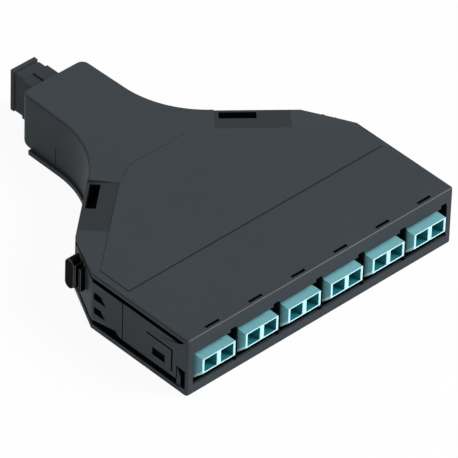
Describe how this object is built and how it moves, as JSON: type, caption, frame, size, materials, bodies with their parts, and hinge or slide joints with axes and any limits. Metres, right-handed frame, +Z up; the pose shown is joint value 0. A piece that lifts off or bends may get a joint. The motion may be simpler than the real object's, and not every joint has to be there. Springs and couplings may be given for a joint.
{
  "type": "fibre cassette",
  "caption": "Flat fan-shaped fibre patching cassette with duplex ports along the wide front, a clip-down cover, side release latches and an upright multi-fibre port behind its narrow neck.",
  "frame": {"origin": "centre of the overall box in plan, on the flat underside of the tray", "axes": "+X along the port row to the right seen from the front, +Y from the front ports to the neck, +Z up"},
  "size_m": [0.103, 0.128, 0.02],
  "materials": {
    "housing": "fine satin texture",
    "latch": "fine satin texture",
    "adapter": "satin",
    "rear_adapter": "satin",
    "plug_plastic": "satin",
    "boot_white": "matte",
    "boot_rubber": "matte",
    "ferrule_white": "polished",
    "ferrule_resin": "moulded",
    "pin_steel": "polished",
    "grey_plastic": "moulded",
    "fibre_jacket": "smooth jacket"
  },
  "bodies": {
    "housing": {"base_tray": "housing", "top_cover": "housing", "fanout_block": "grey_plastic", "fibre_bundle": "fibre_jacket", "mpo_adapter": "rear_adapter", "mpo_plug_housing": "rear_adapter", "mpo_ferrule": "ferrule_resin", "mpo_guide_pins": "pin_steel", "mpo_boot": "boot_rubber", "lc_adapter_1": "adapter", "split_sleeves_1": "ferrule_white", "lc_plugs_1": "plug_plastic", "lc_ferrules_1": "ferrule_white", "lc_boots_1": "boot_white", "fibre_pair_1": "fibre_jacket", "lc_adapter_2": "adapter", "split_sleeves_2": "ferrule_white", "lc_plugs_2": "plug_plastic", "lc_ferrules_2": "ferrule_white", "lc_boots_2": "boot_white", "fibre_pair_2": "fibre_jacket", "lc_adapter_3": "adapter", "split_sleeves_3": "ferrule_white", "lc_plugs_3": "plug_plastic", "lc_ferrules_3": "ferrule_white", "lc_boots_3": "boot_white", "fibre_pair_3": "fibre_jacket", "lc_adapter_4": "adapter", "split_sleeves_4": "ferrule_white", "lc_plugs_4": "plug_plastic", "lc_ferrules_4": "ferrule_white", "lc_boots_4": "boot_white", "fibre_pair_4": "fibre_jacket", "lc_adapter_5": "adapter", "split_sleeves_5": "ferrule_white", "lc_plugs_5": "plug_plastic", "lc_ferrules_5": "ferrule_white", "lc_boots_5": "boot_white", "fibre_pair_5": "fibre_jacket", "lc_adapter_6": "adapter", "split_sleeves_6": "ferrule_white", "lc_plugs_6": "plug_plastic", "lc_ferrules_6": "ferrule_white", "lc_boots_6": "boot_white", "fibre_pair_6": "fibre_jacket"},
    "latch_left": {"release_latch_left": "latch"},
    "latch_right": {"release_latch_right": "latch"}
  },
  "joints": [
    {"name": "latch_left_squeeze", "type": "hinge", "parent": "housing", "child": "latch_left", "pos_m": [-0.0507, -0.03575, 0.0104], "axis": [0, 0, -1], "range_deg": [0, 3.5], "stiffness_Nm_per_rad": 1},
    {"name": "latch_right_squeeze", "type": "hinge", "parent": "housing", "child": "latch_right", "pos_m": [0.0507, -0.03575, 0.0104], "axis": [0, 0, 1], "range_deg": [0, 3.5], "stiffness_Nm_per_rad": 1}
  ]
}
